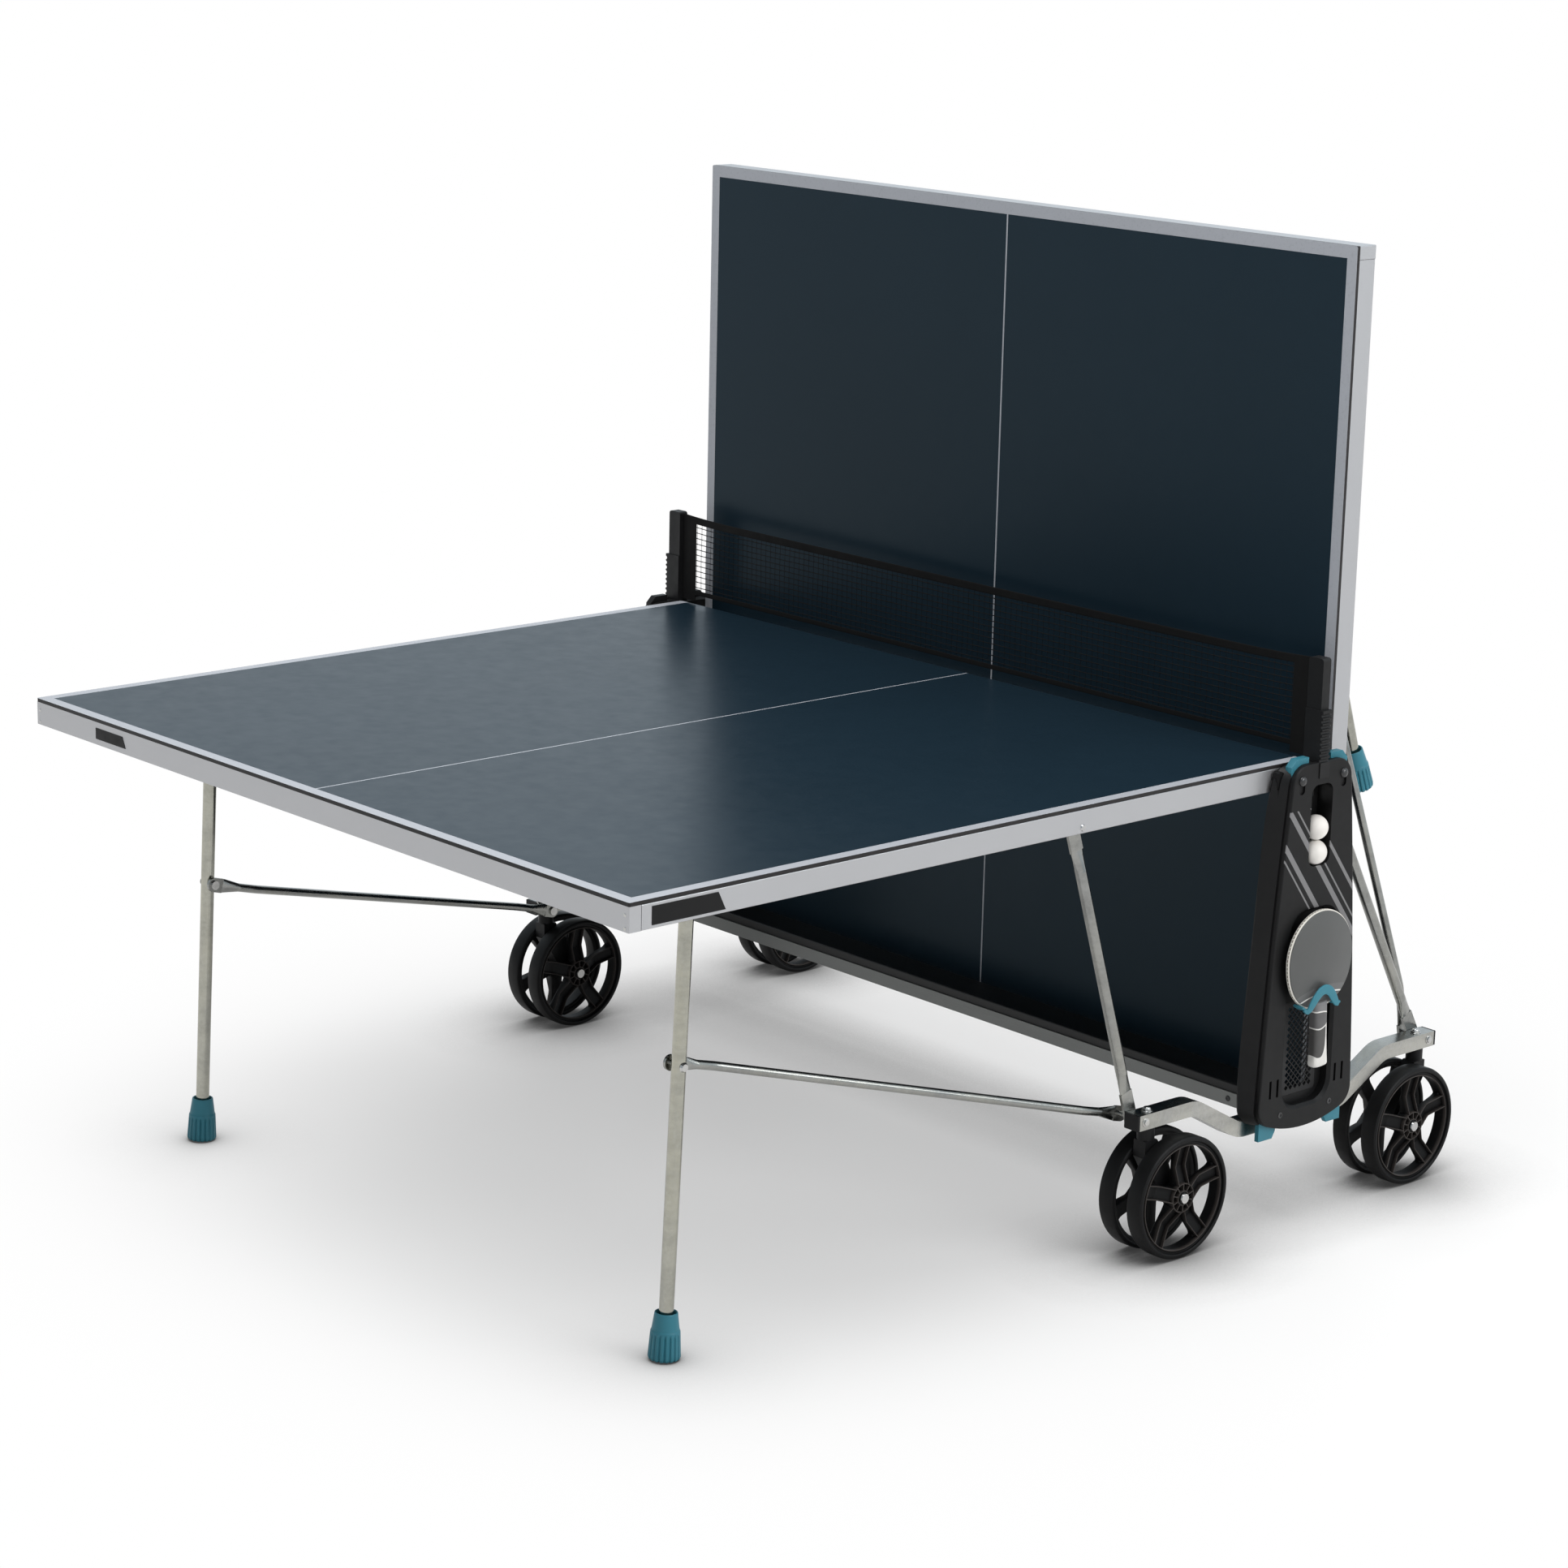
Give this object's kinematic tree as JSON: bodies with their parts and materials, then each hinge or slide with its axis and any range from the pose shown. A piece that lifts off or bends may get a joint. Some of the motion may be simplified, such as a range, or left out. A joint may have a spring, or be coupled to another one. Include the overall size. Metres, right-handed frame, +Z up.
{
  "type": "folding ping pong table",
  "caption": "Folding ping pong table with one half flat for play and the other upright, on casters, with a net, storage panels, a bat and balls.",
  "frame": {"origin": "middle of the box round the table, on the floor", "axes": "+X along the net toward the panel that holds the bat, +Y from the flat half toward the upright half, +Z up"},
  "size_m": [1.655, 1.7538, 1.56],
  "materials": {
    "blue_board": "smooth melamine resin laminate, satin",
    "silver_steel": "silver coated steel tube, satin",
    "zinc_steel": "zinc plated",
    "teal_plastic": "moulded, satin",
    "black_plastic": "moulded, fine grain",
    "wheel_black": "moulded, matte",
    "black_steel": "black powder coat",
    "grey_steel": "grey powder coat",
    "net_cloth": "knotted mesh with a sewn band",
    "white_ball": "satin celluloid-like plastic",
    "bat_wood": "plain",
    "bat_rubber": "smooth sheet",
    "bat_grip": "two-tone moulded grip"
  },
  "bodies": {
    "chassis": {"right_panel_body": "black_plastic", "right_panel_cover": "black_plastic", "left_panel_body": "black_plastic", "left_panel_cover": "black_plastic", "right_wheel_arm": "silver_steel", "left_wheel_arm": "silver_steel", "bat_recess_grilles": "black_plastic", "bat_clips": "teal_plastic", "cross_beam": "black_steel", "cross_beam_trim": "grey_steel", "arm_end_plugs": "black_plastic", "chassis_screws": "zinc_steel"},
    "net_assembly": {"net_posts": "black_plastic", "net": "net_cloth"},
    "upper_ball": {"upper_ball": "white_ball"},
    "lower_ball": {"lower_ball": "white_ball"},
    "bat": {"bat_blade": "bat_wood", "bat_rubbers": "bat_rubber", "bat_handle": "bat_grip"},
    "front_guides": {"front_guide_runners": "black_plastic"},
    "front_half": {"front_board": "blue_board", "front_frame": "silver_steel", "front_badge_plates": "black_plastic"},
    "front_struts": {"front_struts": "silver_steel", "front_strut_bolts": "zinc_steel"},
    "front_legs": {"front_legs": "silver_steel"},
    "front_stays": {"front_stays": "silver_steel", "front_stay_bolts": "zinc_steel"},
    "front_left_foot": {"front_left_foot": "teal_plastic"},
    "front_left_lock": {"front_left_lock": "black_plastic"},
    "front_left_caster_fork": {"front_left_caster_fork": "black_plastic", "front_left_caster_axle": "zinc_steel"},
    "front_left_outer_wheel": {"front_left_outer_wheel": "wheel_black"},
    "front_left_inner_wheel": {"front_left_inner_wheel": "wheel_black"},
    "front_right_foot": {"front_right_foot": "teal_plastic"},
    "front_right_lock": {"front_right_lock": "teal_plastic"},
    "front_right_caster_fork": {"front_right_caster_fork": "black_plastic", "front_right_caster_axle": "zinc_steel"},
    "front_right_outer_wheel": {"front_right_outer_wheel": "wheel_black"},
    "front_right_inner_wheel": {"front_right_inner_wheel": "wheel_black"},
    "back_guides": {"back_guide_runners": "black_plastic"},
    "back_half": {"back_board": "blue_board", "back_frame": "silver_steel"},
    "back_struts": {"back_struts": "silver_steel", "back_strut_bolts": "zinc_steel"},
    "back_legs": {"back_legs": "silver_steel"},
    "back_stays": {"back_stays": "silver_steel", "back_stay_bolts": "zinc_steel"},
    "back_left_foot": {"back_left_foot": "teal_plastic"},
    "back_left_lock": {"back_left_lock": "black_plastic"},
    "back_left_caster_fork": {"back_left_caster_fork": "black_plastic", "back_left_caster_axle": "zinc_steel"},
    "back_left_outer_wheel": {"back_left_outer_wheel": "wheel_black"},
    "back_left_inner_wheel": {"back_left_inner_wheel": "wheel_black"},
    "back_right_foot": {"back_right_foot": "teal_plastic"},
    "back_right_lock": {"back_right_lock": "teal_plastic"},
    "back_right_caster_fork": {"back_right_caster_fork": "black_plastic", "back_right_caster_axle": "zinc_steel"},
    "back_right_outer_wheel": {"back_right_outer_wheel": "wheel_black"},
    "back_right_inner_wheel": {"back_right_inner_wheel": "wheel_black"}
  },
  "joints": [
    {"name": "net_lift", "type": "slide", "parent": "chassis", "child": "net_assembly", "axis": [0, 0, 1], "range_m": [0, 0.012]},
    {"name": "upper_ball_lift", "type": "slide", "parent": "chassis", "child": "upper_ball", "axis": [0, 0, 1], "range_m": [0, 0.05]},
    {"name": "lower_ball_lift", "type": "slide", "parent": "chassis", "child": "lower_ball", "axis": [0, 0, 1], "range_m": [0, 0.05]},
    {"name": "bat_lift", "type": "slide", "parent": "chassis", "child": "bat", "axis": [0, 0, 1], "range_m": [0, 0.06]},
    {"name": "front_guide_slide", "type": "slide", "parent": "chassis", "child": "front_guides", "axis": [0, 0, -1], "range_m": [0, 0.477]},
    {"name": "front_fold", "type": "hinge", "parent": "front_guides", "child": "front_half", "pos_m": [0, 0.4229, 0.738], "axis": [-1, 0, 0], "range_deg": [0, 90]},
    {"name": "front_strut_swing", "type": "hinge", "parent": "front_half", "child": "front_struts", "pos_m": [0, -0.00154, 0.726], "axis": [1, 0, 0], "range_deg": [0, 43.13]},
    {"name": "front_leg_swing", "type": "hinge", "parent": "front_half", "child": "front_legs", "pos_m": [0, -0.6411, 0.732], "axis": [1, 0, 0], "range_deg": [0, 73.5]},
    {"name": "front_stay_swing", "type": "hinge", "parent": "front_legs", "child": "front_stays", "pos_m": [0, -0.65365, 0.4446], "axis": [-1, 0, 0], "range_deg": [0, 70.05]},
    {"name": "front_left_foot_height", "type": "slide", "parent": "front_legs", "child": "front_left_foot", "axis": [0, -0.0436, -0.999], "range_m": [0, 0.01]},
    {"name": "front_left_lock_lift", "type": "slide", "parent": "chassis", "child": "front_left_lock", "axis": [0, 0, 1], "range_m": [0, 0.006]},
    {"name": "front_left_caster_swivel", "type": "hinge", "parent": "chassis", "child": "front_left_caster_fork", "pos_m": [-0.756, 0.1749, 0.2], "axis": [0, 0, 1], "continuous": true},
    {"name": "front_left_outer_wheel_spin", "type": "hinge", "parent": "front_left_caster_fork", "child": "front_left_outer_wheel", "pos_m": [-0.756, 0.2209, 0.1], "axis": [1, 0, 0], "continuous": true},
    {"name": "front_left_inner_wheel_spin", "type": "hinge", "parent": "front_left_caster_fork", "child": "front_left_inner_wheel", "pos_m": [-0.756, 0.2209, 0.1], "axis": [1, 0, 0], "continuous": true},
    {"name": "front_right_foot_height", "type": "slide", "parent": "front_legs", "child": "front_right_foot", "axis": [0, -0.0436, -0.999], "range_m": [0, 0.01]},
    {"name": "front_right_lock_lift", "type": "slide", "parent": "chassis", "child": "front_right_lock", "axis": [0, 0, 1], "range_m": [0, 0.006]},
    {"name": "front_right_caster_swivel", "type": "hinge", "parent": "chassis", "child": "front_right_caster_fork", "pos_m": [0.756, 0.1749, 0.2], "axis": [0, 0, 1], "continuous": true},
    {"name": "front_right_outer_wheel_spin", "type": "hinge", "parent": "front_right_caster_fork", "child": "front_right_outer_wheel", "pos_m": [0.756, 0.2209, 0.1], "axis": [1, 0, 0], "continuous": true},
    {"name": "front_right_inner_wheel_spin", "type": "hinge", "parent": "front_right_caster_fork", "child": "front_right_inner_wheel", "pos_m": [0.756, 0.2209, 0.1], "axis": [1, 0, 0], "continuous": true},
    {"name": "back_guide_slide", "type": "slide", "parent": "chassis", "child": "back_guides", "axis": [0, 0, 1], "range_m": [0, 0.477]},
    {"name": "back_fold", "type": "hinge", "parent": "back_guides", "child": "back_half", "pos_m": [0, 0.5749, 0.261], "axis": [-1, 0, 0], "range_deg": [0, 90]},
    {"name": "back_strut_swing", "type": "hinge", "parent": "back_half", "child": "back_struts", "pos_m": [0, 0.5869, 0.68544], "axis": [1, 0, 0], "range_deg": [0, 43.13]},
    {"name": "back_leg_swing", "type": "hinge", "parent": "back_half", "child": "back_legs", "pos_m": [0, 0.5809, 1.325], "axis": [1, 0, 0], "range_deg": [0, 73.5]},
    {"name": "back_stay_swing", "type": "hinge", "parent": "back_legs", "child": "back_stays", "pos_m": [0, 0.67456, 1.053], "axis": [-1, 0, 0], "range_deg": [0, 70.05]},
    {"name": "back_left_foot_height", "type": "slide", "parent": "back_legs", "child": "back_left_foot", "axis": [0, 0.3256, -0.9455], "range_m": [0, 0.01]},
    {"name": "back_left_lock_lift", "type": "slide", "parent": "chassis", "child": "back_left_lock", "axis": [0, 0, 1], "range_m": [0, 0.006]},
    {"name": "back_left_caster_swivel", "type": "hinge", "parent": "chassis", "child": "back_left_caster_fork", "pos_m": [-0.756, 0.8229, 0.2], "axis": [0, 0, 1], "continuous": true},
    {"name": "back_left_outer_wheel_spin", "type": "hinge", "parent": "back_left_caster_fork", "child": "back_left_outer_wheel", "pos_m": [-0.756, 0.7769, 0.1], "axis": [1, 0, 0], "continuous": true},
    {"name": "back_left_inner_wheel_spin", "type": "hinge", "parent": "back_left_caster_fork", "child": "back_left_inner_wheel", "pos_m": [-0.756, 0.7769, 0.1], "axis": [1, 0, 0], "continuous": true},
    {"name": "back_right_foot_height", "type": "slide", "parent": "back_legs", "child": "back_right_foot", "axis": [0, 0.3256, -0.9455], "range_m": [0, 0.01]},
    {"name": "back_right_lock_lift", "type": "slide", "parent": "chassis", "child": "back_right_lock", "axis": [0, 0, 1], "range_m": [0, 0.006]},
    {"name": "back_right_caster_swivel", "type": "hinge", "parent": "chassis", "child": "back_right_caster_fork", "pos_m": [0.756, 0.8229, 0.2], "axis": [0, 0, 1], "continuous": true},
    {"name": "back_right_outer_wheel_spin", "type": "hinge", "parent": "back_right_caster_fork", "child": "back_right_outer_wheel", "pos_m": [0.756, 0.7769, 0.1], "axis": [1, 0, 0], "continuous": true},
    {"name": "back_right_inner_wheel_spin", "type": "hinge", "parent": "back_right_caster_fork", "child": "back_right_inner_wheel", "pos_m": [0.756, 0.7769, 0.1], "axis": [1, 0, 0], "continuous": true}
  ],
  "couplings": [
    {"joint": "lower_ball_lift", "follows": "upper_ball_lift", "ratio": 1},
    {"joint": "front_guide_slide", "follows": "front_fold", "m_per_rad": 0.30367},
    {"joint": "front_strut_swing", "follows": "front_fold", "ratio": 0.47919},
    {"joint": "front_leg_swing", "follows": "front_fold", "ratio": 0.81667},
    {"joint": "front_stay_swing", "follows": "front_fold", "ratio": 0.77831},
    {"joint": "back_guide_slide", "follows": "back_fold", "m_per_rad": 0.30367},
    {"joint": "back_strut_swing", "follows": "back_fold", "ratio": 0.47919},
    {"joint": "back_leg_swing", "follows": "back_fold", "ratio": 0.81667},
    {"joint": "back_stay_swing", "follows": "back_fold", "ratio": 0.77831}
  ]
}
